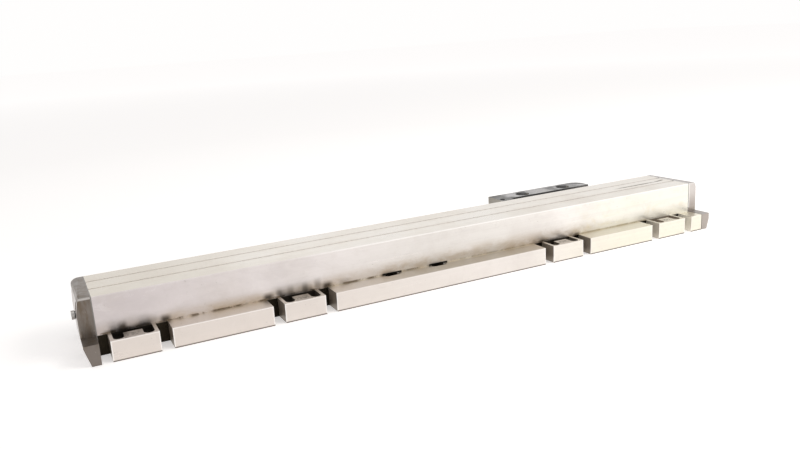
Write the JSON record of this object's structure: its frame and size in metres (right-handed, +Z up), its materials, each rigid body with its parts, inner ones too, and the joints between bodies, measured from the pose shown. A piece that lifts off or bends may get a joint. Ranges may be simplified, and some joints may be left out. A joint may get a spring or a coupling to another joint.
{
  "type": "sealed linear encoder",
  "caption": "Sealed linear glass scale: long extruded housing with a sprung fixing flange and end caps, and a sliding scanning unit whose mounting block rides outside on a blade.",
  "frame": {"origin": "the fixed point: mouth of the threaded hole at mid length, on the mounting face", "axes": "+X along the scale towards the end with the leftover flange foot, +Y from the flange to the mounting block, +Z up from the mounting face"},
  "size_m": [0.4717, 0.0856, 0.035],
  "materials": {
    "housing_aluminium": "satin, bright and slightly stained",
    "cap_metal": "satin grey-brown",
    "black_rubber": "matt",
    "lip_rubber": "matt",
    "screw_steel": "dark zinc",
    "plug_steel": "dark zinc",
    "scale_glass": "polished",
    "lens_glass": "polished",
    "reticle_glass": "polished",
    "bonding_resin": "matt",
    "chrome_layer": "mirror",
    "carriage_aluminium": "cast, matt",
    "circuit_board": "solder mask",
    "led_resin": "clear amber",
    "chip_plastic": "matt",
    "flex_film": "film",
    "spring_steel": "bright",
    "fork_steel": "bright",
    "pin_steel": "ground",
    "bearing_steel": "ground",
    "blade_steel": "ground",
    "block_metal": "satin dark grey",
    "cover_metal": "satin dark grey",
    "shell_nickel": "nickel",
    "insert_plastic": "matt",
    "contact_gold": "gold plated"
  },
  "bodies": {
    "scale_unit": {"scale_housing": "housing_aluminium", "end_cap_left": "cap_metal", "end_cap_right": "cap_metal", "gasket_left": "black_rubber", "gasket_right": "black_rubber", "cap_screws": "screw_steel", "air_plug_left": "plug_steel", "air_plug_right": "plug_steel", "plug_seals": "black_rubber", "glass_scale": "scale_glass", "scale_bond": "bonding_resin", "graduation": "chrome_layer", "lip_upper": "lip_rubber", "lip_lower": "lip_rubber"},
    "scanning_unit": {"carriage_frame": "carriage_aluminium", "lamp_board": "circuit_board", "led_emitter": "led_resin", "condenser_lens": "lens_glass", "scanning_reticle": "reticle_glass", "detector_board": "circuit_board", "detector_chip": "chip_plastic", "flex_print": "flex_film", "preload_spring": "spring_steel", "preload_fork": "fork_steel", "carriage_screws": "screw_steel", "roller_pins": "pin_steel", "coupling_rod": "pin_steel", "coupling_screws": "screw_steel", "blade": "blade_steel", "blade_screws": "screw_steel", "mounting_block": "block_metal", "block_cover": "cover_metal", "cover_gasket": "black_rubber", "cover_screws": "screw_steel", "electronics_board": "circuit_board", "board_parts": "chip_plastic", "connector_shell": "shell_nickel", "connector_insert": "insert_plastic", "connector_contacts": "contact_gold", "block_plug": "plug_steel", "block_plug_seal": "black_rubber"},
    "wheel_top_left": {"roller_top_left": "bearing_steel"},
    "wheel_top_right": {"roller_top_right": "bearing_steel"},
    "wheel_face_left": {"roller_face_left": "bearing_steel"},
    "wheel_face_right": {"roller_face_right": "bearing_steel"},
    "wheel_low": {"roller_low": "bearing_steel"},
    "wheel_preload": {"roller_preload": "bearing_steel"}
  },
  "joints": [
    {"name": "scan_slide", "type": "slide", "parent": "scale_unit", "child": "scanning_unit", "axis": [1, 0, 0], "range_m": [-0.29525, 0.04475]},
    {"name": "roller_top_left_spin", "type": "hinge", "parent": "scanning_unit", "child": "wheel_top_left", "pos_m": [0.1135, 0.0229, 0.02655], "axis": [0, 1, 0], "continuous": true},
    {"name": "roller_top_right_spin", "type": "hinge", "parent": "scanning_unit", "child": "wheel_top_right", "pos_m": [0.1495, 0.0229, 0.02655], "axis": [0, 1, 0], "continuous": true},
    {"name": "roller_face_left_spin", "type": "hinge", "parent": "scanning_unit", "child": "wheel_face_left", "pos_m": [0.1135, 0.02695, 0.0214], "axis": [0, 0, 1], "continuous": true},
    {"name": "roller_face_right_spin", "type": "hinge", "parent": "scanning_unit", "child": "wheel_face_right", "pos_m": [0.1495, 0.02695, 0.0214], "axis": [0, 0, 1], "continuous": true},
    {"name": "roller_low_spin", "type": "hinge", "parent": "scanning_unit", "child": "wheel_low", "pos_m": [0.1315, 0.02695, 0.0108], "axis": [0, 0, 1], "continuous": true},
    {"name": "roller_preload_spin", "type": "hinge", "parent": "scanning_unit", "child": "wheel_preload", "pos_m": [0.1511, 0.01885, 0.0165], "axis": [0, 0, 1], "continuous": true}
  ],
  "couplings": [
    {"joint": "roller_top_left_spin", "follows": "scan_slide", "rad_per_m": 400},
    {"joint": "roller_top_right_spin", "follows": "scan_slide", "rad_per_m": 400},
    {"joint": "roller_face_left_spin", "follows": "scan_slide", "rad_per_m": -400},
    {"joint": "roller_face_right_spin", "follows": "scan_slide", "rad_per_m": -400},
    {"joint": "roller_low_spin", "follows": "scan_slide", "rad_per_m": -400},
    {"joint": "roller_preload_spin", "follows": "scan_slide", "rad_per_m": 400}
  ]
}
